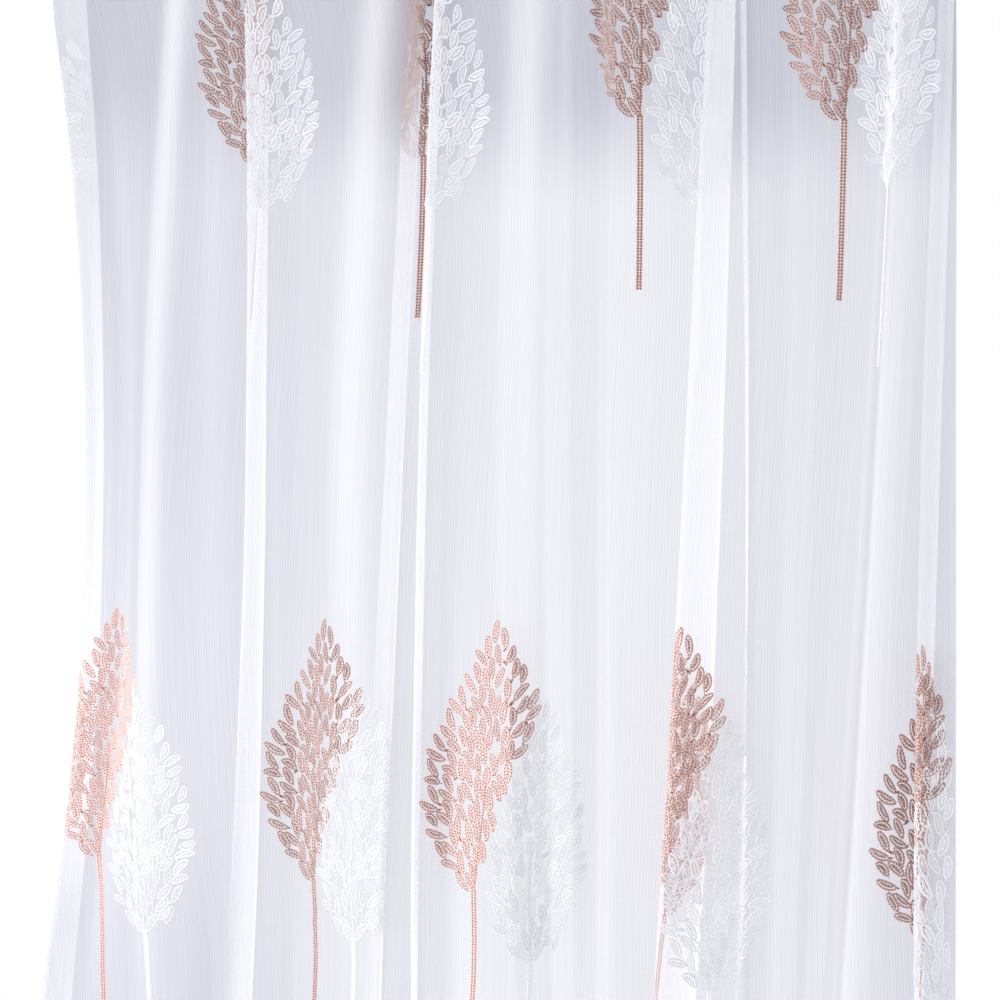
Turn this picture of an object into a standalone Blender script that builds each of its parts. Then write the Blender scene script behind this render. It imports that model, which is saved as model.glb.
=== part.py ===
"""Sheer voile curtain: one gathered panel, hanging in its folds.

Metres, +Z up. The origin is the middle of the top edge. The room side faces -Y.
"""

import math
from collections import namedtuple

import bmesh
import bpy

DROP = 2.45                 # top edge to bottom hem
CUT_WIDTH = 1.45            # the panel laid flat, side hem to side hem
CLOTH_THICKNESS = 0.0012    # voile with its raised thread
ROWS = 13                   # rows of faces down the drop
LONGEST_RUN = 0.028         # longest straight step between two folds, in plan
TURN_STEP = math.radians(38)  # largest heading change of one step round a fold

# The folds are placed at three heights. Above and below those they straighten out.
HIGH_Z = -0.50
LOW_Z = -1.50
EASE_OUT = 0.10             # share of HIGH_Z to LOW_Z over which the lean fades away
SHALLOWEST, DEEPEST = 0.8, 1.3  # how far the folds' depth may be scaled to take up the cut width
HALVINGS = 24               # steps of the search for that depth

MM = 0.001
CREST = 1                   # the cloth turns round the room side of the fold
VALLEY = -1                 # the cloth turns round the window side of the fold

# One row for each fold, left to right, in millimetres. "across" is where the fold lies from the
# panel's middle, and "reach" how far its outer face stands behind (+) or in front of (-) the
# rail line, each at the high, middle and low height.
Fold = namedtuple("Fold", "name kind radius across reach")
FOLDS = (
    Fold("turned_side", CREST, 6, (-473, -435, -485), (-6, -6, -6)),
    Fold("side_hollow", VALLEY, 14, (-424, -410, -440), (10, 22, 4)),
    Fold("side_ridge", CREST, 5, (-334, -362, -370), (-10, -10, -6)),
    Fold("first_pleat_back", VALLEY, 4.5, (-231, -230, -242), (18, 14, 8)),
    Fold("first_pleat_front", CREST, 4.5, (-232, -233, -261), (-15, -13, -10)),
    Fold("second_hollow", VALLEY, 18, (-188, -186, -190), (10, 10, 8)),
    Fold("second_ridge", CREST, 30, (-96, -126, -116), (-12, -12, -14)),
    Fold("box_left_front", CREST, 4, (-34, -61, -82), (-18, -18, -20)),
    Fold("box_left_back", VALLEY, 4.5, (-58, -85, -117), (14, 16, 18)),
    Fold("box_right_back", VALLEY, 4, (-29, -48, -56), (20, 20, 20)),
    Fold("box_right_front", CREST, 4, (-19, -38, -44), (-12, -12, -12)),
    Fold("third_hollow", VALLEY, 18, (14, -6, -10), (10, 8, 8)),
    Fold("third_ridge", CREST, 12, (64, 52, 64), (-8, -8, -8)),
    Fold("thin_crease", VALLEY, 4, (90, 84, 92), (14, 14, 14)),
    Fold("low_ridge", CREST, 7, (120, 118, 122), (-4, -4, -4)),
    Fold("fourth_hollow", VALLEY, 5, (143, 142, 141), (12, 10, 8)),
    Fold("fourth_ridge", CREST, 6, (168, 162, 160), (-14, -12, -8)),
    Fold("wide_pleat_back", VALLEY, 4.5, (272, 258, 232), (22, 24, 28)),
    Fold("wide_pleat_front", CREST, 5, (265, 239, 210), (-24, -26, -28)),
    Fold("tuck_back", VALLEY, 2.5, (286, 289, 280), (8, 8, 8)),
    Fold("tuck_front", CREST, 2.5, (287, 293, 284), (-6, -5, -4)),
    Fold("fifth_hollow", VALLEY, 11, (330, 326, 308), (10, 10, 10)),
    Fold("fifth_ridge", CREST, 10, (366, 352, 334), (-6, -6, -6)),
    Fold("sharp_ridge_back", VALLEY, 5, (418, 394, 360), (18, 18, 18)),
    Fold("sharp_ridge", CREST, 4, (437, 412, 381), (-18, -18, -18)),
    Fold("last_pleat_back", VALLEY, 4, (474, 460, 445), (18, 18, 18)),
    Fold("last_pleat_front", CREST, 4, (471, 453, 448), (-16, -16, -16)),
)
SideHem = namedtuple("SideHem", "across reach")
LEFT_HEM = SideHem((-450, -454, -466), (14, 44, 14))     # turned behind the left fold
RIGHT_HEM = SideHem((479, 479, 479), (4, 8, 8))

Peg = namedtuple("Peg", "x y radius kind")


def level_at(z):
    """0 at the high height and 1 at the low one, easing to a stop outside them."""
    level = (HIGH_Z - z) / (HIGH_Z - LOW_Z)
    beyond = max(-level, level - 1.0, 0.0)
    eased = EASE_OUT * (1.0 - math.exp(-beyond / EASE_OUT))
    return min(max(level, 0.0), 1.0) + math.copysign(eased, level)


def between(values, level):
    """A parabola through the high, middle and low values, in metres."""
    high, middle, low = values
    return MM * (high * (1 - level) * (1 - 2 * level)
                 + middle * 4 * level * (1 - level)
                 + low * level * (2 * level - 1))


def pegs_at(level, depth):
    """The round pegs that the cloth is wrapped over at one height, ends included."""
    pegs = [Peg(between(LEFT_HEM.across, level), depth * between(LEFT_HEM.reach, level), 0.0, CREST)]
    for fold in FOLDS:
        radius = fold.radius * MM
        apex = depth * between(fold.reach, level)
        pegs.append(Peg(between(fold.across, level), apex + fold.kind * radius, radius, fold.kind))
    pegs.append(Peg(between(RIGHT_HEM.across, level), depth * between(RIGHT_HEM.reach, level), 0.0, CREST))
    return pegs


def taut_run(peg, following):
    """The heading and both ends of the straight run that touches two pegs."""
    dx, dy = following.x - peg.x, following.y - peg.y
    offset = peg.kind * peg.radius - following.kind * following.radius
    heading = math.atan2(dy, dx) + math.asin(offset / math.hypot(dx, dy))
    right = (math.sin(heading), -math.cos(heading))
    ends = [(p.x + p.kind * p.radius * right[0], p.y + p.kind * p.radius * right[1])
            for p in (peg, following)]
    return heading, ends[0], ends[1]


def turn_round(peg, heading, next_heading):
    """How far the cloth turns round a peg, always in the peg's own sense."""
    return ((next_heading - heading) * peg.kind + 1.0) % math.tau - 1.0


def section(level, depth, steps=None):
    """The cloth in plan at one height, and the steps taken on each run and fold."""
    pegs = pegs_at(level, depth)
    runs = [taut_run(a, b) for a, b in zip(pegs, pegs[1:])]
    if steps is None:
        steps = []
        for index, (heading, start, end) in enumerate(runs):
            steps.append(math.ceil(math.dist(start, end) / LONGEST_RUN))
            if index < len(runs) - 1:
                turn = turn_round(pegs[index + 1], heading, runs[index + 1][0])
                steps.append(max(2, math.ceil(turn / TURN_STEP)))
    points = [runs[0][1]]
    for index, (heading, start, end) in enumerate(runs):
        count = steps[2 * index]
        for step in range(1, count + 1):
            share = step / count
            points.append(tuple(a + (b - a) * share for a, b in zip(start, end)))
        if index < len(runs) - 1:
            peg = pegs[index + 1]
            turn = turn_round(peg, heading, runs[index + 1][0])
            count = steps[2 * index + 1]
            for step in range(1, count):
                angle = heading + peg.kind * turn * step / count
                points.append((peg.x + peg.kind * peg.radius * math.sin(angle),
                               peg.y - peg.kind * peg.radius * math.cos(angle)))
    return points, steps


def plan_length(points):
    return sum(math.dist(a, b) for a, b in zip(points, points[1:]))


def full_depth(level, steps):
    """The depth of the folds that takes up the panel's whole cut width at this height."""
    shallow, deep = SHALLOWEST, DEEPEST
    for _ in range(HALVINGS):
        depth = (shallow + deep) / 2
        if plan_length(section(level, depth, steps)[0]) < CUT_WIDTH:
            shallow = depth
        else:
            deep = depth
    return depth


def voile_material():
    material = bpy.data.materials.new("white_voile")
    material.use_nodes = True
    shader = material.node_tree.nodes["Principled BSDF"]
    shader.inputs["Base Color"].default_value = (0.88, 0.88, 0.92, 1.0)
    shader.inputs["Roughness"].default_value = 0.85
    shader.inputs["Metallic"].default_value = 0.0
    return material


def make_panel(collection):
    """The voile panel: an open sheet lofted through its plans, then given its thickness."""
    steps = section(0.5, 1.0)[1]
    sheet = bmesh.new()
    rows = []
    for row in range(ROWS + 1):
        z = -DROP * row / ROWS
        level = level_at(z)
        plan = section(level, full_depth(level, steps), steps)[0]
        rows.append([sheet.verts.new((x, y, z)) for x, y in plan])
    for upper, lower in zip(rows, rows[1:]):
        for column in range(len(upper) - 1):
            sheet.faces.new((upper[column], lower[column], lower[column + 1], upper[column + 1]))
    mesh = bpy.data.meshes.new("voile_panel")
    sheet.to_mesh(mesh)
    sheet.free()
    mesh.shade_smooth()
    mesh.materials.append(voile_material())

    panel = bpy.data.objects.new("voile_panel", mesh)
    collection.objects.link(panel)
    thickness = panel.modifiers.new("cloth_thickness", "SOLIDIFY")
    thickness.thickness = CLOTH_THICKNESS
    thickness.offset = 0.0
    thickness.use_even_offset = True
    return panel


def clear_scene():
    for existing in list(bpy.data.objects):
        bpy.data.objects.remove(existing, do_unlink=True)


def main():
    clear_scene()
    collection = bpy.data.collections.new("sheer_voile_curtain")
    bpy.context.scene.collection.children.link(collection)
    make_panel(collection)


main()
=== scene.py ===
import math
import random

import bmesh
import bpy
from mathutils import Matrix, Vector, noise


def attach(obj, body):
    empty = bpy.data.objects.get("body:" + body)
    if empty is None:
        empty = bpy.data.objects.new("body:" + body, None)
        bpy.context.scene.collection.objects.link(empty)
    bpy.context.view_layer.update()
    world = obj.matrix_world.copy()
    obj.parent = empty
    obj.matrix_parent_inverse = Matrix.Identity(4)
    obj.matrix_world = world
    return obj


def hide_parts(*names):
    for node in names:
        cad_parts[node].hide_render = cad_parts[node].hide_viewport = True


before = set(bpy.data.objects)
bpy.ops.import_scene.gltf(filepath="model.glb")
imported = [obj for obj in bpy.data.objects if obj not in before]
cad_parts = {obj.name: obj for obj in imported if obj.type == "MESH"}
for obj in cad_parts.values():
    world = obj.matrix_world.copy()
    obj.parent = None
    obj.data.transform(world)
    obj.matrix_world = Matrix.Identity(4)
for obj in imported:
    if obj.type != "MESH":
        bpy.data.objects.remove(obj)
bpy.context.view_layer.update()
mm = 0.001
crest = 1      # the cloth turns round the room side of the fold
valley = -1    # the cloth turns round the window side of the fold

# the voile, hanging in its folds
# metres; x runs along the curtain, -y is the room, the top edge is at z = 0
voile = {
    "cutWidth": 1.45,
    "drop": 2.45,
    "highZ": -0.50,                # the folds are given at these two heights and midway
    "lowZ": -1.50,
    "easeOut": 0.10,               # beyond them the folds' lean fades over this share
    "depthRange": (0.8, 1.3),      # scale of the folds' depth that takes up the cut width
    "halvings": 16,                # steps of the search for it
    "coarseRun": 0.028,            # longest step and largest turn while searching
    "coarseTurn": math.radians(38),
    "fineRun": 0.0043,             # and in the mesh
    "fineTurn": math.radians(30),
    "shownFrom": -0.40,            # closer rows where the camera looks
    "shownTo": -1.62,
    "closeRow": 0.0094,
    "wideRow": 0.020,
    "sway": 0.0020,                # how far the folds wander sideways
    "swayNoise": (4.0, 2.6, 1.7),  # how quickly across and down, and where in the noise
    "swell": 0.0016,               # how far they wander in depth
    "swellNoise": (5.0, 3.5, 8.2),
}

# name, kind, radius, then across and reach in millimetres at the high, middle and low height
folds = (
    ("turned side", crest, 6, (-473, -435, -485), (-6, -6, -6)),
    ("side hollow", valley, 14, (-424, -410, -440), (10, 22, 4)),
    ("side ridge", crest, 5, (-334, -362, -370), (-10, -10, -6)),
    ("first pleat back", valley, 4.5, (-231, -230, -242), (18, 14, 8)),
    ("first pleat front", crest, 4.5, (-232, -233, -261), (-15, -13, -10)),
    ("second hollow", valley, 18, (-188, -186, -190), (10, 10, 8)),
    ("second ridge", crest, 30, (-96, -126, -116), (-12, -12, -14)),
    ("box left front", crest, 4, (-34, -61, -82), (-18, -18, -20)),
    ("box left back", valley, 4.5, (-58, -85, -117), (14, 16, 18)),
    ("box right back", valley, 4, (-29, -48, -56), (20, 20, 20)),
    ("box right front", crest, 4, (-19, -38, -44), (-12, -12, -12)),
    ("third hollow", valley, 18, (14, -6, -10), (10, 8, 8)),
    ("third ridge", crest, 12, (64, 52, 64), (-8, -8, -8)),
    ("thin crease", valley, 4, (90, 84, 92), (14, 14, 14)),
    ("low ridge", crest, 7, (120, 118, 122), (-4, -4, -4)),
    ("fourth hollow", valley, 5, (143, 142, 141), (12, 10, 8)),
    ("fourth ridge", crest, 6, (168, 162, 160), (-14, -12, -8)),
    ("wide pleat back", valley, 4.5, (272, 258, 232), (22, 24, 28)),
    ("wide pleat front", crest, 5, (265, 239, 210), (-24, -26, -28)),
    ("tuck back", valley, 2.5, (286, 289, 278), (8, 8, 6)),
    ("tuck front", crest, 2.5, (287, 293, 287), (-6, -5, 0)),
    ("fifth hollow", valley, 11, (330, 326, 308), (10, 10, 10)),
    ("fifth ridge", crest, 10, (366, 352, 334), (-6, -6, -6)),
    ("sharp ridge back", valley, 5, (418, 394, 360), (18, 18, 18)),
    ("sharp ridge", crest, 4, (437, 412, 381), (-18, -18, -18)),
    ("last pleat back", valley, 4, (474, 460, 445), (18, 18, 18)),
    ("last pleat front", crest, 4, (471, 453, 448), (-16, -16, -16)),
)
leftHem = ((-450, -454, -466), (14, 44, 14))
rightHem = ((479, 479, 479), (4, 8, 8))

# Painted light along the folds: near each fold the voile is made denser, so that it lets less through
# and looks whiter as a painted highlight, and where the amount is negative it is made thinner and
# looks darker as painted shade: how much at the high, middle and low height, how far right of the
# fold, and how wide to its left and right, in millimetres.
paintedFoldLight = {
    "turned side": ((0.0, -0.06, -0.12), 0, 30, 30),
    "side hollow": ((0.0, 0.12, 0.06), 8, 20, 24),
    "side ridge": ((0.42, 0.30, 0.14), 8, 12, 14),
    "first pleat back": ((0.09, 0.09, -0.08), -60, 18, 20),
    "first pleat front": ((0.0, -0.10, -0.44), 0, 16, 20),
    "second hollow": ((0.06, 0.12, 0.0), -18, 16, 16),
    "second ridge": ((0.38, 0.28, 0.06), 20, 22, 26),
    "box left back": ((0.0, -0.14, -0.56), 0, 30, 24),
    "box right front": ((0.06, -0.16, -0.20), 0, 6, 9),
    "third hollow": ((-0.04, -0.03, 0.12), 20, 20, 22),
    "third ridge": ((0.40, 0.30, 0.05), 15, 20, 22),
    "low ridge": ((0.12, -0.02, -0.06), -8, 7, 9),
    "fourth hollow": ((-0.04, -0.04, 0.0), 0, 12, 14),
    "fourth ridge": ((0.08, 0.06, -0.02), 18, 20, 30),
    "wide pleat front": ((0.04, -0.12, -0.14), -14, 26, 26),
    "tuck front": ((-0.12, -0.20, -0.14), 0, 7, 8),
    "fifth ridge": ((0.0, 0.08, 0.06), 44, 36, 30),
    "sharp ridge": ((0.30, 0.26, 0.20), 2, 8, 22),
    "last pleat front": ((-0.22, -0.30, -0.14), -12, 36, 60),
}

# How far the warp has slipped sideways at each hem, in millimetres, at heights in metres from the
# top edge, so that it hangs straight down while the folds lean.
warpSlip = {
    "left": ((-2.45, 50), (-1.62, 50), (-1.55, 35), (-1.50, 19), (-1.46, 7), (-1.40, -7), (-1.37, -8),
             (-1.10, -8), (-0.80, 5), (-0.50, 9), (0, 9)),
    "right": ((-2.45, 16), (-1.62, 16), (-1.55, 11), (-1.50, 6), (-1.46, 1), (-1.40, -6), (-1.37, -8),
              (-1.10, -8), (-0.80, 5), (-0.50, 9), (0, 9)),
}
slipFade = 60       # it fades to nothing over this much cloth at each side

# Small creases in the cloth, placed on the flat panel in millimetres from its left hem and from
# its top edge: where, slant from upright in degrees, half length, half width, height (+ is raised).
creases = (
    (70, -840, 48, 40, 5, 2.2),
    (84, -872, 52, 46, 6, -2.0),
    (92, -905, 44, 40, 5, 2.0),
    (64, -930, 60, 36, 5, -1.6),
    (120, -1085, 62, 46, 4, 1.2),
    (150, -1110, -55, 40, 4, 1.0),
    (60, -1415, 80, 60, 4, 1.8),
    (210, -1450, 70, 70, 5, 1.4),
    (360, -1090, 35, 50, 5, 1.0),
    (480, -1080, -40, 50, 5, 1.0),
    (400, -1440, -72, 60, 5, 1.3),
    (700, -1080, 42, 46, 5, 0.9),
    (810, -1100, -38, 46, 5, 0.9),
    (850, -1430, 75, 60, 5, 0.8),
    (1010, -1080, 30, 50, 5, 1.0),
    (1130, -1120, -30, 50, 5, 1.0),
    (1180, -1440, 70, 70, 5, 0.9),
    (330, -690, 60, 50, 5, 0.9),
    (640, -700, -60, 50, 5, 0.9),
    (960, -690, 60, 50, 5, 0.9),
    (1290, -700, -60, 50, 5, 0.9),
)
creaseReach = 90    # no crease is felt further from its middle than this


def intoScene(name, data):
    made = bpy.data.objects.new(name, data)
    bpy.context.scene.collection.objects.link(made)
    return made


def readTable(table, place):
    for (a, low), (b, high) in zip(table, table[1:]):
        if place <= b:
            return low + (high - low) * (place - a) / (b - a)
    return table[-1][1]


def levelAt(z):
    # 0 at the high height and 1 at the low one, easing to a stop outside them
    level = (voile["highZ"] - z) / (voile["highZ"] - voile["lowZ"])
    beyond = max(-level, level - 1.0, 0.0)
    eased = voile["easeOut"] * (1.0 - math.exp(-beyond / voile["easeOut"]))
    return min(max(level, 0.0), 1.0) + math.copysign(eased, level)


def between(values, level):
    high, middle, low = values
    return mm * (high * (1 - level) * (1 - 2 * level) + middle * 4 * level * (1 - level)
                 + low * level * (2 * level - 1))


def pegsAt(level, depth):
    # each peg is x, y, radius and kind; the cloth is wrapped tightly over them in turn
    pegs = [(between(leftHem[0], level), depth * between(leftHem[1], level), 0.0, crest)]
    for name, kind, radius, across, reach in folds:
        y = depth * between(reach, level) + kind * radius * mm
        pegs.append((between(across, level), y, radius * mm, kind))
    pegs.append((between(rightHem[0], level), depth * between(rightHem[1], level), 0.0, crest))
    return pegs


def tautRun(peg, following):
    # the heading of the straight run that touches two pegs, and its ends
    dx, dy = following[0] - peg[0], following[1] - peg[1]
    offset = peg[3] * peg[2] - following[3] * following[2]
    heading = math.atan2(dy, dx) + math.asin(offset / math.hypot(dx, dy))
    right = (math.sin(heading), -math.cos(heading))
    start, end = [(p[0] + p[3] * p[2] * right[0], p[1] + p[3] * p[2] * right[1])
                  for p in (peg, following)]
    return heading, start, end


def turnRound(peg, heading, nextHeading):
    # how far the cloth turns round a peg, in the peg's own sense
    return ((nextHeading - heading) * peg[3] + 1.0) % math.tau - 1.0


def stepsOf(pegs, longestRun, turnStep):
    # how many steps each run and each turn takes, which is the same at every height
    runs = [tautRun(a, b) for a, b in zip(pegs, pegs[1:])]
    steps = []
    for index, (heading, start, end) in enumerate(runs):
        steps.append(math.ceil(math.dist(start, end) / longestRun))
        if index < len(runs) - 1:
            turn = turnRound(pegs[index + 1], heading, runs[index + 1][0])
            steps.append(max(2, math.ceil(turn / turnStep)))
    return steps


def planOf(pegs, steps):
    # the cloth seen from above at one height
    runs = [tautRun(a, b) for a, b in zip(pegs, pegs[1:])]
    points = [runs[0][1]]
    for index, (heading, start, end) in enumerate(runs):
        for step in range(1, steps[2 * index] + 1):
            share = step / steps[2 * index]
            points.append((start[0] + (end[0] - start[0]) * share,
                           start[1] + (end[1] - start[1]) * share))
        if index < len(runs) - 1:
            x, y, radius, kind = pegs[index + 1]
            turn = turnRound(pegs[index + 1], heading, runs[index + 1][0])
            count = steps[2 * index + 1]
            for step in range(1, count):
                angle = heading + kind * turn * step / count
                points.append((x + kind * radius * math.sin(angle),
                               y - kind * radius * math.cos(angle)))
    return points


def lengthOf(points):
    return sum(math.dist(a, b) for a, b in zip(points, points[1:]))


def depthFor(level, steps):
    shallow, deep = voile["depthRange"]
    for halving in range(voile["halvings"]):
        depth = (shallow + deep) / 2
        if lengthOf(planOf(pegsAt(level, depth), steps)) < voile["cutWidth"]:
            shallow = depth
        else:
            deep = depth
    return depth


def rowHeights():
    heights = [0.0]
    while heights[-1] > -voile["drop"]:
        shown = voile["shownTo"] < heights[-1] <= voile["shownFrom"]
        heights.append(heights[-1] - (voile["closeRow"] if shown else voile["wideRow"]))
    heights[-1] = -voile["drop"]
    return heights


def creaseHeight(across, z):
    height = 0.0
    for cx, cz, slant, halfLength, halfWidth, rise in creases:
        dx, dz = across / mm - cx, z / mm - cz
        if abs(dx) > creaseReach or abs(dz) > creaseReach:
            continue
        along = dx * math.sin(math.radians(slant)) + dz * math.cos(math.radians(slant))
        aside = dx * math.cos(math.radians(slant)) - dz * math.sin(math.radians(slant))
        fade = max(0.0, 1.0 - (along / halfLength) ** 2)
        height += rise * mm * fade * math.exp(-(aside / halfWidth) ** 2)
    return height


def warpPlace(share, z):
    # which warp thread, as a share of the cut width, hangs where this share of the weft is
    slip = (1.0 - share) * readTable(warpSlip["left"], z) + share * readTable(warpSlip["right"], z)
    slip *= mm / voile["cutWidth"]
    fade = slipFade * mm / voile["cutWidth"]
    near = min(share, 1.0 - share) / fade
    eased = 1.0 if near >= 1.0 else near * near * (3.0 - 2.0 * near)
    return share - slip * eased


# the painted highlights and shade along the folds at this place on the weft
def paintedFoldLightAt(run, apexes, level):
    amount = 0.0
    for name, (amounts, shift, left, right) in paintedFoldLight.items():
        aside = (run - apexes[name]) / mm - shift
        width = right if aside > 0 else left
        amount += between(amounts, level) / mm * math.exp(-(aside / width) ** 2)
    return amount


def apexRuns(plan, steps):
    # how far along the weft the middle of each fold lies
    runs = [0.0]
    for a, b in zip(plan, plan[1:]):
        runs.append(runs[-1] + math.dist(a, b))
    apexes, last = {}, 0
    for index, fold in enumerate(folds):
        first = last + steps[2 * index]
        last = first + steps[2 * index + 1] - 1
        apexes[fold[0]] = 0.5 * (runs[first] + runs[last])
    return apexes


def wander(x, z, noiseOf):
    across, down, start = noiseOf
    return noise.noise(Vector((x * across, z * down, start)))


def makeVoile():
    middle = pegsAt(0.5, 1.0)
    coarse = stepsOf(middle, voile["coarseRun"], voile["coarseTurn"])
    fine = stepsOf(middle, voile["fineRun"], voile["fineTurn"])
    cloth = bmesh.new()
    grid, paintedLight = [], []
    for z in rowHeights():
        level = levelAt(z)
        plan = planOf(pegsAt(level, depthFor(level, coarse)), fine)
        total = lengthOf(plan)
        apexes = apexRuns(plan, fine)
        row, run = [], 0.0
        for index, (x, y) in enumerate(plan):
            if index:
                run += math.dist(plan[index - 1], (x, y))
            # painted highlights and shade along the folds, carried to the material as a change in
            # density
            paintedLight.append(paintedFoldLightAt(run, apexes, level))
            x += voile["sway"] * wander(x, z, voile["swayNoise"])
            y += voile["swell"] * wander(x, z, voile["swellNoise"])
            row.append((cloth.verts.new((x, y, z)), warpPlace(run / total, z),
                        1.0 + z / voile["drop"]))
        grid.append(row)
    # the UV is a place on the flat panel, from 0 to 1 across and up
    layer = cloth.loops.layers.uv.new("UVMap")
    for upper, lower in zip(grid, grid[1:]):
        for a, b, c, d in zip(upper, lower, lower[1:], upper[1:]):
            face = cloth.faces.new((a[0], b[0], c[0], d[0]))
            for loop, corner in zip(face.loops, (a, b, c, d)):
                loop[layer].uv = corner[1:]
    cloth.normal_update()
    for row in grid:
        for vert, share, up in row:
            vert.co += vert.normal * creaseHeight(share * voile["cutWidth"], vert.co.z)
    cloth.normal_update()
    mesh = bpy.data.meshes.new("voile_cloth")
    cloth.to_mesh(mesh)
    cloth.free()
    mesh.shade_smooth()
    mesh.attributes.new("paintedLight", "FLOAT", "POINT").data.foreach_set("value", paintedLight)
    # the stitches stand up along this
    outward = mesh.attributes.new("outward", "FLOAT_VECTOR", "POINT")
    for item, vert in zip(outward.data, mesh.vertices):
        item.vector = vert.normal
    return intoScene("voile_cloth", mesh)


def feed(graph, node, inputs):
    for key, value in inputs.items():
        if isinstance(value, bpy.types.NodeSocket):
            graph.links.new(value, node.inputs[key])
        else:
            node.inputs[key].default_value = value


def addNode(graph, kind, inputs=None, **settings):
    made = graph.nodes.new(kind)
    for key, value in settings.items():
        setattr(made, key, value)
    feed(graph, made, inputs or {})
    return made


def nodeOut(graph, kind, inputs=None, **settings):
    return addNode(graph, kind, inputs, **settings).outputs[0]


def calc(graph, operation, *values, clamp=False):
    return nodeOut(graph, "ShaderNodeMath", dict(enumerate(values)), operation=operation,
                   use_clamp=clamp)


def mixColours(graph, factor, first, second):
    return addNode(graph, "ShaderNodeMix", {"Factor": factor, 6: first, 7: second},
                   data_type="RGBA").outputs[2]


def newMaterial(name):
    material = bpy.data.materials.new(name)
    material.use_nodes = True
    graph = material.node_tree
    return material, graph, graph.nodes["Principled BSDF"]


voileLook = {
    "colour": (0.91, 0.905, 0.93, 1.0),
    "density": 0.43,            # share of the light that one layer stops
    "ribPitch": 0.0031,
    "ribDensity": 0.026,
    "ribWander": 9.0,           # how far the ribs drift from even
    "driftNoise": (60.0, 3.0),  # how quickly that changes across and down the panel
    "weftPitch": 0.0021,
    "weftDensity": 0.012,
    "streakDensity": 0.11,
    "streakNoise": (420.0, 9.0),
    "hemWidth": 0.022,
    "bottomHem": 0.090,
    "topHem": 0.045,
    "hemDensity": 0.18,
    "sideHemDensity": 0.05,
    "throughLight": 0.78,       # share of the thread's light that comes from behind
    "roughness": 0.75,
    "sheen": 0.25,
    "bump": 0.25,
    "bumpHeight": 0.0004,
}


def clothNoise(graph, uv, scales, detail):
    stretched = nodeOut(graph, "ShaderNodeVectorMath", {0: uv, 1: (*scales, 1.0)},
                        operation="MULTIPLY")
    return nodeOut(graph, "ShaderNodeTexNoise", {
        "Vector": stretched, "Scale": 1.0, "Detail": detail})


def ribs(graph, uv, across):
    turns = calc(graph, "MULTIPLY", across, math.tau / voileLook["ribPitch"])
    drift = clothNoise(graph, uv, voileLook["driftNoise"], 0.0)
    drift = calc(graph, "MULTIPLY", drift, voileLook["ribWander"])
    return calc(graph, "SINE", calc(graph, "ADD", turns, drift))


def withHems(graph, density, across, up):
    # within a hem's width of an edge the cloth lies double
    width, drop = voile["cutWidth"], voile["drop"]
    edge = calc(graph, "MINIMUM", across, calc(graph, "SUBTRACT", width, across))
    sideHem = calc(graph, "LESS_THAN", edge, voileLook["hemWidth"])
    lowHem = calc(graph, "LESS_THAN", up, voileLook["bottomHem"])
    highHem = calc(graph, "GREATER_THAN", up, drop - voileLook["topHem"])
    hem = calc(graph, "MAXIMUM", lowHem, highHem)
    density = calc(graph, "MULTIPLY_ADD", sideHem, voileLook["sideHemDensity"], density)
    return calc(graph, "MULTIPLY_ADD", hem, voileLook["hemDensity"], density, clamp=True)


def voileMaterial():
    material, graph, shader = newMaterial("sheer voile")
    uv = nodeOut(graph, "ShaderNodeUVMap", uv_map="UVMap")
    flat = addNode(graph, "ShaderNodeSeparateXYZ", {0: uv})
    across = calc(graph, "MULTIPLY", flat.outputs[0], voile["cutWidth"])
    up = calc(graph, "MULTIPLY", flat.outputs[1], voile["drop"])
    rib = ribs(graph, uv, across)
    weft = calc(graph, "SINE", calc(graph, "MULTIPLY", up, math.tau / voileLook["weftPitch"]))
    streak = calc(graph, "SUBTRACT", clothNoise(graph, uv, voileLook["streakNoise"], 1.0), 0.5)
    # the painted highlights and shade along the folds are added to the density
    paintedLight = addNode(graph, "ShaderNodeAttribute", attribute_name="paintedLight").outputs["Fac"]
    density = calc(graph, "MULTIPLY_ADD", rib, voileLook["ribDensity"], voileLook["density"])
    density = calc(graph, "MULTIPLY_ADD", weft, voileLook["weftDensity"], density)
    density = calc(graph, "MULTIPLY_ADD", streak, voileLook["streakDensity"], density)
    density = withHems(graph, calc(graph, "ADD", density, paintedLight), across, up)
    bump = nodeOut(graph, "ShaderNodeBump", {
        "Height": rib, "Strength": voileLook["bump"], "Distance": voileLook["bumpHeight"]})
    feed(graph, shader, {
        "Base Color": voileLook["colour"], "Roughness": voileLook["roughness"],
        "Sheen Weight": voileLook["sheen"], "Normal": bump})
    through = nodeOut(graph, "ShaderNodeBsdfTranslucent", {"Color": voileLook["colour"]})
    thread = nodeOut(graph, "ShaderNodeMixShader", {
        0: voileLook["throughLight"], 1: shader.outputs[0], 2: through})
    gap = nodeOut(graph, "ShaderNodeBsdfTransparent")
    cloth = nodeOut(graph, "ShaderNodeMixShader", {
        0: density, 1: gap, 2: thread})
    feed(graph, graph.nodes["Material Output"], {"Surface": cloth})
    return material


# A leaf is a loop of chain stitches with a smaller loop inside it, all in metres.
leafShape = {
    "rise": 0.0007,       # how far it stands up on each side of the voile
    "stitch": 0.0032,     # length of one chain stitch
    "outerSides": 12,
    "innerSides": 8,
    "innerLength": 0.60,  # of the leaf's length
    "blunt": 0.2,         # 0 is an oval, higher is more pointed
}
leafKinds = (       # name, length, width and bend
    ("leaf1", 0.0228, 0.0092, 0.0004),
    ("leaf2", 0.0243, 0.0086, -0.0012),
    ("leaf3", 0.0212, 0.0097, 0.0014),
)
chainStitch = {"length": 0.0035, "width": 0.0036, "rise": 0.0009, "sides": 8}
plainStitch = {"length": 0.0050, "width": 0.0018, "rise": 0.0006, "sides": 8}
# a point's "kind" is 0 to 2 for a leaf, then one of these
chainKind = 3
plainKind = 4


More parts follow.
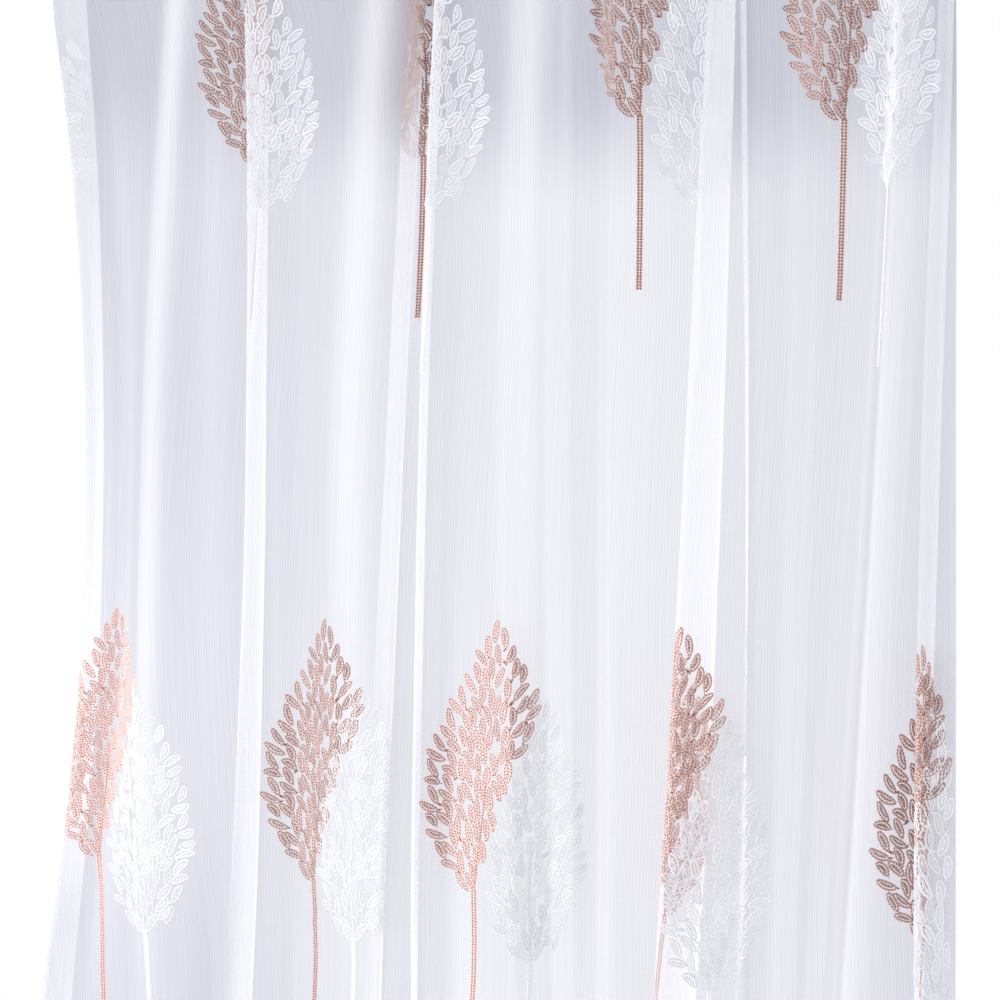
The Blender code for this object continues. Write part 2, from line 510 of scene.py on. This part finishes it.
def loopPoints(length, width, bend, count):
    points = []
    for index in range(count):
        turn = math.tau * index / count
        y = -0.5 * length * math.cos(turn)
        x = 0.5 * width * math.sin(turn) * abs(math.sin(turn)) ** leafShape["blunt"]
        x += bend * (1.0 - (2.0 * y / length) ** 2)
        points.append(Vector((x, y, 0.0)))
    return points


def addCord(shape, layer, points, halfWidth, rise, stitch):
    # a closed thread with four sides; its UV counts stitches along and 0 to 1 across
    rings, along = [], 0.0
    for index, point in enumerate(points):
        ahead = points[(index + 1) % len(points)]
        run = (ahead - points[index - 1]).normalized()
        side = Vector((run.y, -run.x, 0.0)) * halfWidth
        if index:
            along += (point - points[index - 1]).length / stitch
        rings.append(([shape.verts.new(point + side), shape.verts.new(point + Vector((0, 0, rise))),
                       shape.verts.new(point - side), shape.verts.new(point - Vector((0, 0, rise)))],
                      along))
    along += (points[0] - points[-1]).length / stitch
    fit = round(along) / along
    rings.append((rings[0][0], along))
    for (ring, start), (nextRing, end) in zip(rings, rings[1:]):
        for corner in range(4):
            other = (corner + 1) % 4
            face = shape.faces.new((ring[corner], nextRing[corner], nextRing[other], ring[other]))
            here, there = (0.0, 0.5, 1.0, 0.5)[corner], (0.0, 0.5, 1.0, 0.5)[other]
            for loop, uv in zip(face.loops, ((start * fit, here), (end * fit, here),
                                             (end * fit, there), (start * fit, there))):
                loop[layer].uv = uv
            face.smooth = True


def makeLeaf(name, length, width, bend, look):
    shape = bmesh.new()
    layer = shape.loops.layers.uv.new("UVMap")
    cord, rise, stitch = look["leafCord"], leafShape["rise"], leafShape["stitch"]
    outline = loopPoints(length - cord, width - cord, bend, leafShape["outerSides"])
    addCord(shape, layer, outline, cord / 2, rise, stitch)
    room = 0.5 * width - cord - look["leafGap"]     # half the width left for the inner loop
    inner = room - look["leafSlit"]
    outline = loopPoints(length * leafShape["innerLength"], 2 * room - inner, bend,
                         leafShape["innerSides"])
    addCord(shape, layer, outline, inner / 2, rise, stitch)
    return finishShape(shape, name)


def makePad(name, sizes):
    # a low oval pad, whose UV is one stitch long
    length, width = sizes["length"], sizes["width"]
    shape = bmesh.new()
    layer = shape.loops.layers.uv.new("UVMap")
    rim = [shape.verts.new(point) for point in loopPoints(length, width, 0.0, sizes["sides"])]
    for height in (sizes["rise"], -sizes["rise"]):
        top = shape.verts.new((0.0, 0.0, height))
        for a, b in zip(rim, rim[1:] + rim[:1]):
            corners = (a, b, top) if height > 0 else (b, a, top)
            face = shape.faces.new(corners)
            for loop, corner in zip(face.loops, corners):
                loop[layer].uv = (0.5 + corner.co.y / length, 0.5 + corner.co.x / width)
            face.smooth = True
    return finishShape(shape, name)


def finishShape(shape, name):
    bmesh.ops.recalc_face_normals(shape, faces=shape.faces)
    mesh = bpy.data.meshes.new(name)
    shape.to_mesh(mesh)
    shape.free()
    return bpy.data.objects.new(name, mesh)


def shapeCollection(name, look):
    # "kind" picks a shape by the alphabetical order of these names
    collection = bpy.data.collections.new(name)
    for leaf, length, width, bend in leafKinds:
        collection.objects.link(makeLeaf(leaf, length, width, bend, look))
    collection.objects.link(makePad("stitch", chainStitch))
    collection.objects.link(makePad("thread", plainStitch))
    return collection


# The trees lie flat here: millimetres from the foot of the crown, heights as shares of the crown.
roseTree = {
    "crown": 276,
    "lean": 19,             # how far the tip stands to the right of the foot
    "leftReach": ((0, 14), (.04, 24), (.10, 42), (.16, 54), (.22, 64), (.3, 71), (.44, 75),
                  (.56, 64), (.7, 48), (.86, 26), (1, 2)),
    "rightReach": ((0, 8), (.23, 12), (.3, 20), (.43, 26), (.5, 37), (.6, 51), (.7, 53),
                   (.8, 38), (.9, 22), (1, 2)),
    "rowGap": 12.8,
    "columnGap": 15.8,
    "edgeTilt": 60,         # degrees that an outer leaf leans out
    "spread": 20,           # and how much neighbours differ
    "droop": (0.20, 0.52),  # between these heights the right-hand leaves hang instead
    "stem": 168,
    "stemGap": 3.6,
    "seed": 11,
}
whiteTree = {
    "crown": 268,
    "lean": -3,
    "leftReach": ((0, 12), (.04, 25), (.10, 38), (.18, 46), (.33, 51), (.45, 46), (.54, 38),
                  (.74, 22), (.91, 14), (1, 2)),
    "rightReach": ((0, 12), (.04, 27), (.10, 45), (.18, 57), (.35, 68), (.5, 66), (.62, 60),
                   (.75, 49), (.86, 30), (.93, 16), (1, 2)),
    "rowGap": 13.0,
    "columnGap": 15.8,
    "edgeTilt": 64,
    "spread": 22,
    "droop": (2, 2),  # no leaf is that high, so none hangs
    "stem": 168,
    "stemGap": 2.6,
    "seed": 23,
}
layout = {
    "pitch": 320,      # from one stem to the next across the cloth
    "whiteAside": 60,  # the white tree stands beside the rose one
    "whiteBelow": 75,
    "keepIn": 7,       # no leaf closer to a side hem
}
# For each row: the height of the crowns' feet and the place of the first stem, then how far each tree
# of each colour stands from that to the right and up, and how much painted light its thread gets,
# lighter where positive and darker, as painted shade, where negative.
treeRows = {
    "top": {
        "footZ": -636,
        "firstStem": -52,
        "rose": ((-24, 0, 0), (5, -5, -0.6), (6, -10, -0.6), (3, 4, -0.4), (1, -14, -0.3)),
        "white": ((-24, 0, 0.2), (5, 16, 0.6), (-2, 5, 0.5), (3, -4, -0.2), (4, -2, 0.3)),
    },
    "middle": {
        "footZ": -1390,
        "firstStem": 99,
        "rose": ((-15, -8, 0.6), (0, -10, -1.5), (-5, -6, 0.9), (-6, -6, 1.6), (6, -18, -0.5)),
        "white": ((-12, -5, 0), (-5, 14, 0.1), (0, 6, -0.8), (-4, -2, -0.4), (-2, 0, -0.2)),
    },
    "bottom": {
        "footZ": -2150,
        "firstStem": -52,
        "rose": ((-24, 0, 0), (4, -6, 0), (-3, 5, 0), (2, -4, 0), (0, 3, 0)),
        "white": ((-24, 0, 0), (-4, 5, 0), (3, -4, 0), (0, 6, 0), (-2, 0, 0)),
    },
}
# How the leaves first lie in a crown, in millimetres, degrees and shares.
leafLay = {
    "inset": 8,            # the outer leaves' middles lie this far inside the crown
    "ends": 10,            # and the lowest and highest rows this far
    "extra": (-0.1, 0.4),  # leaves added to every even and every odd row before rounding
    "shake": 2,            # how far chance moves a leaf
    "luckTilt": 9,         # how far it turns it
    "luckSize": 0.07,      # and how much it changes its size
    "luckTone": 0.5,
    "leastReach": 16.0,    # where the crown is narrower the leaves lean out less
    "steep": 1.3,          # share of the tree's edge tilt at the foot
    "steepLoss": 0.6,      # that is lost on the way to the tip
    "lowest": 0.12,        # below this share of the crown the leaves lie flatter and more alike
    "lowSteep": 0.5,       # by this much at the foot
    "innerSpread": 0.3,    # share of the tree's spread at the middle
    "outerSpread": 0.7,    # and what is added to it at the edge
    "droopTilt": -18.0,
}
# Three discs along each leaf then push its neighbours away, turn after turn.
settling = {
    "turns": 26,
    "room": 10.6,  # millimetres between two discs
    "reach": 7.0,  # from the middle disc to the outer ones
    "near": 25,    # leaves further apart than this don't meet
    "push": 0.12,  # share of the overlap that one turn takes away
    "low": 10.0,   # how far inside the crown a leaf stays
    "high": 11.0,
    "left": 7,
    "right": 6,
}
# A stalk is thread from a leaf's foot to the next leaf or to the middle of the tree.
stalk = {
    "foot": 11,    # from a leaf's middle to its foot
    "drop": 14,    # how far below the leaf it would meet the middle of the tree
    "inward": 2,   # the next leaf may stand this much further out
    "above": 3,    # and this much higher
    "reach": 17,   # nothing further off gets a stalk
    "start": 1.5,  # it starts this far inside its own leaf
    "into": 5.0,   # and ends this far short of the other's middle
    "least": 3.0,
}
stemSewing = {
    "step": 0.84,   # of a stitch's length, so that the stitches overlap
    "into": 1.0,    # how far the stem reaches into the crown
    "taper": 0.15,
    "tone": 1.3,
    "spine": 0.42,  # how far up the crown the single row goes
    "spineSize": 0.9,
}
plainTone = 0.5     # the tone of all other thread


def leafTilt(tree, x, share):
    aside = x - tree["lean"] * share
    right = aside > 0
    reach = readTable(tree["rightReach" if right else "leftReach"], share)
    out = min(1.0, abs(aside) / max(reach, leafLay["leastReach"]))
    if right and tree["droop"][0] < share < tree["droop"][1]:
        return leafLay["droopTilt"], out
    low = max(0.0, 1.0 - share / leafLay["lowest"])
    steep = leafLay["steep"] - leafLay["steepLoss"] * share + leafLay["lowSteep"] * low
    tilt = tree["edgeTilt"] * steep * out
    return (tilt if right else -tilt), out


def crownRows(tree, dice):
    leaves = []
    inset, ends, shake = leafLay["inset"], leafLay["ends"], leafLay["shake"]
    rows = round((tree["crown"] - inset) / tree["rowGap"])
    for row in range(rows + 1):
        height = ends + row * (tree["crown"] - 2 * ends) / rows
        share = height / tree["crown"]
        left = -readTable(tree["leftReach"], share) + inset
        right = readTable(tree["rightReach"], share) - inset
        count = max(1, round((right - left) / tree["columnGap"] + leafLay["extra"][row % 2]))
        for column in range(count):
            place = (column + 0.5) / count
            x = left + (right - left) * place + tree["lean"] * share + dice.uniform(-shake, shake)
            luck = dice.uniform(-1, 1)
            tilt, out = leafTilt(tree, x, share)
            other = 1 if (row + column) % 2 else -1
            spread = tree["spread"] * (leafLay["innerSpread"] + leafLay["outerSpread"] * out)
            spread *= min(1.0, share / leafLay["lowest"])
            tilt += leafLay["luckTilt"] * luck + other * spread
            leaves.append([x, height + dice.uniform(-shake, shake), math.radians(tilt), luck])
    return leaves


def pushApart(a, b):
    room, reach = settling["room"], settling["reach"]
    for up in (-reach, 0.0, reach):
        ax, ay = a[0] + up * math.sin(a[2]), a[1] + up * math.cos(a[2])
        for along in (-reach, 0.0, reach):
            dx = b[0] + along * math.sin(b[2]) - ax
            dy = b[1] + along * math.cos(b[2]) - ay
            apart = math.hypot(dx, dy)
            if apart < room:
                push = settling["push"] * (room - apart) / max(apart, 1.0)
                a[0] -= dx * push
                b[0] += dx * push
                a[1] -= dy * push
                b[1] += dy * push


def settle(leaves, tree):
    near = settling["near"]
    for turn in range(settling["turns"]):
        for index, a in enumerate(leaves):
            for b in leaves[index + 1:]:
                if abs(b[0] - a[0]) <= near and abs(b[1] - a[1]) <= near:
                    pushApart(a, b)
        for leaf in leaves:
            leaf[1] = min(max(leaf[1], settling["low"]), tree["crown"] - settling["high"])
            share = leaf[1] / tree["crown"]
            middle = tree["lean"] * share
            left = middle - readTable(tree["leftReach"], share) + settling["left"]
            right = middle + readTable(tree["rightReach"], share) - settling["right"]
            leaf[0] = min(max(leaf[0], left), right)


# Every stitch and leaf is x, height, turn, size, kind and tone.
def stalks(leaves, tree):
    made = []
    for leaf in leaves:
        x, height, tilt, luck = leaf
        footX = x - stalk["foot"] * math.sin(tilt)
        footY = height - stalk["foot"] * math.cos(tilt)
        low = max(height - stalk["drop"], 0)
        targets = [(tree["lean"] * low / tree["crown"], low)]
        aside = abs(x - tree["lean"] * height / tree["crown"])
        for other in leaves:
            out = abs(other[0] - tree["lean"] * other[1] / tree["crown"])
            inward, below = out < aside + stalk["inward"], other[1] < height + stalk["above"]
            if other is not leaf and inward and below:
                targets.append((other[0], other[1]))
        apart, (toX, toY) = min((math.dist((footX, footY), target), target) for target in targets)
        if apart < stalk["reach"]:
            length = max(stalk["least"], apart - stalk["into"] + stalk["start"])
            heading = math.atan2(toX - footX, toY - footY)
            middle = 0.5 * length - stalk["start"]
            made.append((footX + middle * math.sin(heading), footY + middle * math.cos(heading),
                         -heading, length * mm / plainStitch["length"], plainKind, plainTone))
    return made


def crownLeaves(tree):
    dice = random.Random(tree["seed"])
    leaves = crownRows(tree, dice)
    settle(leaves, tree)
    made = []
    for index, (x, height, tilt, luck) in enumerate(leaves):
        made.append((x, height, -tilt, 1.0 + leafLay["luckSize"] * luck, index % len(leafKinds),
                     plainTone + leafLay["luckTone"] * luck))
    return made + stalks(leaves, tree)


def stemStitches(tree):
    # two rows of chain stitch that run on as one row up the middle of the crown
    made = []
    pitch = chainStitch["length"] / mm * stemSewing["step"]
    count = round(tree["stem"] / pitch)
    for step in range(count):
        share = step / count
        for side in (-1, 1):
            x = side * 0.5 * tree["stemGap"] * (1.0 - stemSewing["taper"] * share)
            height = stemSewing["into"] - share * tree["stem"]
            made.append((x, height, 0.0, 1.0, chainKind, stemSewing["tone"]))
    for step in range(1, round(stemSewing["spine"] * tree["crown"] / pitch)):
        height = step * pitch
        made.append((tree["lean"] * height / tree["crown"], height, 0.0, stemSewing["spineSize"],
                     chainKind, plainTone))
    return made


def flatPoints(name, stitches, footZ, firstStem, offsets):
    # one point for each stitch, as far across and up the flat panel as the stitch is sewn
    points, turns, sizes, kinds, tones = [], [], [], [], []
    for index, (right, up, paintedTreeLight) in enumerate(offsets):
        stem = firstStem + index * layout["pitch"] + right
        for x, height, turn, size, kind, tone in stitches:
            across = stem + x
            if layout["keepIn"] <= across <= voile["cutWidth"] / mm - layout["keepIn"]:
                points.append((across * mm, (footZ + up + height) * mm, 0.0))
                turns.append(turn)
                sizes.append(size)
                kinds.append(kind)
                # each tree's painted light and shade is added to its stitches' tone
                tones.append(tone + paintedTreeLight)
    mesh = bpy.data.meshes.new(name)
    mesh.from_pydata(points, [], [])
    for label, kind, values in (("turn", "FLOAT", turns), ("size", "FLOAT", sizes),
                                ("kind", "INT", kinds), ("tone", "FLOAT", tones)):
        mesh.attributes.new(label, kind, "POINT").data.foreach_set("value", values)
    return intoScene(name, mesh)


hemSewing = {"pitch": 6.0, "size": 0.7, "top": 42, "bottom": 86}   # millimetres


def hemStitches():
    # a straight line of small stitches along the top and bottom hem
    made = []
    pitch, quarterTurn = hemSewing["pitch"], 0.5 * math.pi
    for z in (-hemSewing["top"], hemSewing["bottom"] - voile["drop"] / mm):
        for step in range(1, int(voile["cutWidth"] / mm / pitch)):
            made.append((step * pitch, z, quarterTurn, hemSewing["size"], plainKind, plainTone))
    return made


# Geometry Nodes: set each stitched shape on its point and wrap all of it onto the cloth
def stitchGraph():
    graph = bpy.data.node_groups.new("stitch onto cloth", "GeometryNodeTree")
    sockets = {}
    for label, kind, value in (("Points", "NodeSocketGeometry", None),
                               ("Shapes", "NodeSocketCollection", None),
                               ("Cloth", "NodeSocketObject", None),
                               ("Thread", "NodeSocketMaterial", None),
                               ("Cut Width", "NodeSocketFloat", voile["cutWidth"]),
                               ("Drop", "NodeSocketFloat", voile["drop"])):
        socket = graph.interface.new_socket(label, in_out="INPUT", socket_type=kind)
        if value is not None:
            socket.default_value = value
        sockets[label] = socket.identifier
    graph.interface.new_socket("Stitched", in_out="OUTPUT", socket_type="NodeSocketGeometry")
    given = graph.nodes.new("NodeGroupInput").outputs
    result = graph.nodes.new("NodeGroupOutput")

    def read(label, kind):
        return nodeOut(graph, "GeometryNodeInputNamedAttribute", {"Name": label}, data_type=kind)

    shapes = nodeOut(graph, "GeometryNodeCollectionInfo", {
        "Collection": given["Shapes"], "Separate Children": True, "Reset Children": True})
    spin = nodeOut(graph, "ShaderNodeCombineXYZ", {"Z": read("turn", "FLOAT")})
    rotation = nodeOut(graph, "FunctionNodeEulerToRotation", {0: spin})
    size = read("size", "FLOAT")
    scale = nodeOut(graph, "ShaderNodeCombineXYZ", {"X": size, "Y": size, "Z": 1.0})
    placed = nodeOut(graph, "GeometryNodeInstanceOnPoints", {
        "Points": given["Points"], "Instance": shapes, "Pick Instance": True,
        "Instance Index": read("kind", "INT"), "Rotation": rotation, "Scale": scale})
    real = nodeOut(graph, "GeometryNodeRealizeInstances", {0: placed})
    place = nodeOut(graph, "GeometryNodeInputPosition")
    flat = addNode(graph, "ShaderNodeSeparateXYZ", {0: place})
    across = calc(graph, "DIVIDE", flat.outputs[0], given["Cut Width"])
    up = calc(graph, "ADD", calc(graph, "DIVIDE", flat.outputs[1], given["Drop"]), 1.0)
    spot = nodeOut(graph, "ShaderNodeCombineXYZ", {"X": across, "Y": up})
    cloth = addNode(graph, "GeometryNodeObjectInfo", {"Object": given["Cloth"]}).outputs["Geometry"]
    sampled = []
    for value in (place, read("outward", "FLOAT_VECTOR")):
        sampled.append(addNode(graph, "GeometryNodeSampleUVSurface", {
            0: cloth, 1: value, 2: read("UVMap", "FLOAT_VECTOR"), 3: spot},
            data_type="FLOAT_VECTOR").outputs)
    stand = nodeOut(graph, "ShaderNodeVectorMath", {0: sampled[1][0], "Scale": flat.outputs[2]},
                    operation="SCALE")
    target = nodeOut(graph, "ShaderNodeVectorMath", {0: sampled[0][0], 1: stand})
    missed = nodeOut(graph, "FunctionNodeBooleanMath", {0: sampled[0][1]}, operation="NOT")
    kept = nodeOut(graph, "GeometryNodeDeleteGeometry", {"Geometry": real, "Selection": missed})
    moved = nodeOut(graph, "GeometryNodeSetPosition", {"Geometry": kept, "Position": target})
    threaded = nodeOut(graph, "GeometryNodeSetMaterial", {
        "Geometry": moved, "Material": given["Thread"]})
    feed(graph, result, {0: threaded})
    return graph, sockets


def stitchOn(points, name, shapes, cloth, material, stitching):
    graph, sockets = stitching
    modifier = points.modifiers.new("stitch onto cloth", "NODES")
    modifier.node_group = graph
    modifier[sockets["Shapes"]] = shapes
    modifier[sockets["Cloth"]] = cloth
    modifier[sockets["Thread"]] = material
    modifier[sockets["Cut Width"]] = voile["cutWidth"]
    modifier[sockets["Drop"]] = voile["drop"]
    bpy.context.view_layer.update()
    ready = bpy.context.evaluated_depsgraph_get()
    mesh = bpy.data.meshes.new_from_object(points.evaluated_get(ready), depsgraph=ready)
    mesh.name = name
    bpy.data.objects.remove(points)
    return intoScene(name, mesh)


roseLook = {
    "light": (0.82, 0.54, 0.48, 1.0),   # the thread
    "holeShade": (0.24, 0.075, 0.055, 1.0),  # and the needle hole in each stitch, darker as painted shade in the hole
    "holeShadeStrength": 1.0,                       # how plainly the painted shade in the holes shows
    "paintedGlow": 0.0,                        # painted glow: emission that stands in for light through the thread
    "roughness": 0.45,
    "bump": 0.5,
    "leafCord": 0.0021,                 # metres: width of the leaf's outer loop,
    "leafGap": 0.0009,                  # then the gap inside it,
    "leafSlit": 0.0001,                 # and half the slit down the middle
}
whiteLook = {
    # the white thread's colour is kept low and most of its brightness is a painted glow, emission that
    # stands in for light
    "light": (0.266, 0.268, 0.284, 1.0),
    "holeShade": (0.232, 0.234, 0.25, 1.0),
    "holeShadeStrength": 0.12,
    "paintedGlow": 2.24,
    "roughness": 0.6,
    "bump": 0.2,
    "leafCord": 0.0019,
    "leafGap": 0.0013,
    "leafSlit": 0.0003,
}
threadLook = {
    "holeScale": (1.3, 1.1),   # higher makes the hole shorter and narrower
    "holeEdge": (0.19, 0.36),  # shares of a stitch between which it fades out
    "holeDepth": 1.6,
    "toneBase": 0.90,
    "toneStep": 0.14,          # how much lighter a tone of 1 is
    "strand": 0.05,            # how much lighter and darker the twisted strands are
    "sheen": 0.2,
    "bumpHeight": 0.0004,
}


def holeIn(graph, along, aside):
    # 1 in the middle of a stitch and 0 outside the needle hole
    long, wide = threadLook["holeScale"]
    squares = [calc(graph, "POWER", calc(graph, "MULTIPLY", way, scale), 2.0)
               for way, scale in ((along, long), (aside, wide))]
    apart = calc(graph, "SQRT", calc(graph, "ADD", *squares))
    full, none = threadLook["holeEdge"]
    return nodeOut(graph, "ShaderNodeMapRange", {
        "Value": apart, "From Min": full, "From Max": none, "To Min": 1.0, "To Max": 0.0},
        interpolation_type="SMOOTHSTEP")


def threadMaterial(name, look):
    material, graph, shader = newMaterial(name)
    uv = nodeOut(graph, "ShaderNodeUVMap", uv_map="UVMap")
    flat = addNode(graph, "ShaderNodeSeparateXYZ", {0: uv})
    along = calc(graph, "SUBTRACT", calc(graph, "FRACT", flat.outputs[0]), 0.5)
    aside = calc(graph, "SUBTRACT", flat.outputs[1], 0.5)
    hole = holeIn(graph, along, aside)
    twist = calc(graph, "ADD", flat.outputs[0], calc(graph, "ABSOLUTE", aside))
    strand = calc(graph, "SINE", calc(graph, "MULTIPLY", twist, math.tau))
    # tone holds each stitch's own tone plus the painted light and shade given to its tree
    tone = addNode(graph, "ShaderNodeAttribute", attribute_name="tone").outputs["Fac"]
    shade = calc(graph, "MULTIPLY_ADD", tone, threadLook["toneStep"], threadLook["toneBase"])
    shade = calc(graph, "MULTIPLY_ADD", strand, threadLook["strand"], shade)
    # the needle holes are real and their depth is in the bump; their darker colour is painted shade
    holeShaded = calc(graph, "MULTIPLY", hole, look["holeShadeStrength"])
    colour = mixColours(graph, holeShaded, look["light"], look["holeShade"])
    toned = nodeOut(graph, "ShaderNodeVectorMath", {0: colour, "Scale": shade}, operation="SCALE")
    height = calc(graph, "SUBTRACT", strand, calc(graph, "MULTIPLY", hole, threadLook["holeDepth"]))
    bump = nodeOut(graph, "ShaderNodeBump", {
        "Height": height, "Strength": look["bump"], "Distance": threadLook["bumpHeight"]})
    # the painted glow: the thread emits its own toned colour, though it is no lamp
    feed(graph, shader, {
        "Base Color": toned, "Roughness": look["roughness"],
        "Sheen Weight": threadLook["sheen"], "Normal": bump,
        "Emission Color": toned, "Emission Strength": look["paintedGlow"]})
    return material


view = {
    "aim": (0.044, 0.0, -1.0),
    "distance": 1.452,
    "turn": math.radians(19.4),  # the camera looks a little to the left
    "lens": 52.27,               # on a 36 mm sensor
}
studio = {
    "beside": (1.0, 1.0, 1.0),      # the studio beside the curtain
    # painted shade behind the curtain: what shows through the voile is darker than the studio beside
    # it; how far left (-) it lies, and its colour
    "through": (
        (-0.56, (0.49, 0.50, 0.60)), (-0.48, (0.50, 0.51, 0.60)), (-0.40, (0.61, 0.61, 0.68)),
        (-0.33, (0.64, 0.64, 0.71)), (-0.26, (0.72, 0.72, 0.78)), (-0.20, (0.70, 0.70, 0.76)),
        (-0.13, (0.58, 0.58, 0.66)), (0.0, (0.56, 0.56, 0.64)),
    ),
    # darker still towards the top, more painted shade
    "paintedShadeTop": (0.31, 0.345, 0.43),
    "topFade": (0.19, 0.28),        # how high it begins and is full
    "front": (0.66, 0.665, 0.685),  # soft light on the room side
    "back": (1.20, 1.205, 1.24),    # and on the window side
    "sideFade": (-0.25, 0.25),      # where the one goes over into the other
    "floorX": (-3, 3),
    "floorY": (-3.5, 1.1),
    "floorZ": -2.47,
    "floorColour": (0.80, 0.80, 0.80, 1.0),
    "floorRoughness": 0.8,
}
lamps = (
    {"name": "key", "energy": 900, "size": 0.8, "beam": math.radians(36),
     "from": (-3.0, -2.3, -1.55), "aim": (0.0, 0.0, -1.5)},
    # a weaker one for the turned side
    {"name": "side fill", "energy": 340, "size": 0.15, "beam": math.radians(11),
     "from": (0.9, -3.0, -1.3), "aim": (-0.51, 0.0, -1.23)},
)


def makeCamera():
    lens = bpy.data.cameras.new("camera")
    lens.sensor_width = 36.0
    lens.lens = view["lens"]
    camera = intoScene("camera", lens)
    x, y, z = view["aim"]
    camera.location = (x + view["distance"] * math.sin(view["turn"]),
                       y - view["distance"] * math.cos(view["turn"]), z)
    camera.rotation_euler = (math.radians(90), 0.0, view["turn"])
    bpy.context.scene.camera = camera


def paintedShadeRamp(graph, sideways):
    ramp = addNode(graph, "ShaderNodeValToRGB", {0: calc(graph, "ADD", sideways, 1.0)})
    stops = ramp.color_ramp.elements
    while len(stops) < len(studio["through"]):
        stops.new(0.5)
    for stop, (left, colour) in zip(stops, studio["through"]):
        stop.position = 1.0 + left
        stop.color = (*colour, 1.0)
    return ramp.outputs[0]


def makeWorld():
    # the camera sees one colour beside the curtain and, through it, darker ones that are painted shade
    # behind the curtain; two more light it
    world = bpy.data.worlds.new("studio")
    world.use_nodes = True
    bpy.context.scene.world = world
    graph = world.node_tree
    way = addNode(graph, "ShaderNodeSeparateXYZ", {
        0: graph.nodes.new("ShaderNodeTexCoord").outputs["Generated"]})
    path = graph.nodes.new("ShaderNodeLightPath")
    low, high = studio["topFade"]
    top = nodeOut(graph, "ShaderNodeMapRange", {
        "Value": way.outputs[2], "From Min": low, "From Max": high},
        interpolation_type="SMOOTHSTEP")
    through = mixColours(graph, top, paintedShadeRamp(graph, way.outputs[0]),
                         (*studio["paintedShadeTop"], 1.0))
    # only what is seen through the voile gets the painted shade
    veiled = calc(graph, "GREATER_THAN", path.outputs["Transparent Depth"], 0.5)
    seen = mixColours(graph, veiled, (*studio["beside"], 1.0), through)
    shown = nodeOut(graph, "ShaderNodeBackground", {0: seen})
    front, back = studio["sideFade"]
    behind = nodeOut(graph, "ShaderNodeMapRange", {
        "Value": way.outputs[1], "From Min": front, "From Max": back})
    light = mixColours(graph, behind, (*studio["front"], 1.0), (*studio["back"], 1.0))
    fill = nodeOut(graph, "ShaderNodeBackground", {0: light})
    mix = nodeOut(graph, "ShaderNodeMixShader", {0: path.outputs["Is Camera Ray"], 1: fill, 2: shown})
    feed(graph, graph.nodes["World Output"], {0: mix})


def makeLamp(given):
    light = bpy.data.lights.new(given["name"], "SPOT")
    light.energy = given["energy"]
    light.shadow_soft_size = given["size"]
    light.spot_size = given["beam"]
    light.spot_blend = 1.0
    lamp = intoScene(given["name"], light)
    lamp.location = given["from"]
    way = Vector(given["aim"]) - lamp.location
    lamp.rotation_euler = way.to_track_quat("-Z", "Y").to_euler()


def makeFloor():
    (left, right), (near, far), z = studio["floorX"], studio["floorY"], studio["floorZ"]
    floor = bpy.data.meshes.new("floor")
    floor.from_pydata([(left, near, z), (right, near, z), (right, far, z), (left, far, z)], [],
                      [(0, 1, 2, 3)])
    material, graph, shader = newMaterial("pale floor")
    feed(graph, shader, {"Base Color": studio["floorColour"], "Roughness": studio["floorRoughness"]})
    floor.materials.append(material)
    ground = intoScene("floor", floor)


def makeStudio():
    scene = bpy.context.scene
    scene.view_settings.view_transform = "Standard"
    scene.cycles.transparent_max_bounces = 16
    scene.cycles.max_bounces = 5
    scene.cycles.transmission_bounces = 3
    scene.cycles.diffuse_bounces = 2
    makeWorld()
    for lamp in lamps:
        makeLamp(lamp)
    makeFloor()


def tell(piece):
    triangles = sum(len(face.vertices) - 2 for face in piece.data.polygons)
    print(piece.name, triangles, "triangles")


# putting it together
cloth = makeVoile()
cloth.data.materials.append(voileMaterial())
tell(cloth)

stitching = stitchGraph()
for colour, tree, look, aside, below in (
        ("rose", roseTree, roseLook, 0, 0),
        ("white", whiteTree, whiteLook, layout["whiteAside"], layout["whiteBelow"])):
    threadOf = threadMaterial(colour + " thread", look)
    shapes = shapeCollection(colour + " shapes", look)
    stitches = crownLeaves(tree) + stemStitches(tree)
    for rowName, row in treeRows.items():
        points = flatPoints(colour + " points", stitches, row["footZ"] - below,
                            row["firstStem"] + aside, row[colour])
        piece = stitchOn(points, colour + "_trees_" + rowName, shapes, cloth, threadOf, stitching)
        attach(piece, "root")
        tell(piece)
# the hems are sewn with the white trees' shapes and thread
points = flatPoints("hem points", hemStitches(), 0, 0, ((0, 0, 0),))
piece = stitchOn(points, "hem_stitches", shapes, cloth, threadOf, stitching)
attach(piece, "root")
tell(piece)

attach(cloth, "root")
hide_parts("voile_panel")

makeCamera()
makeStudio()
print("camera and light set")
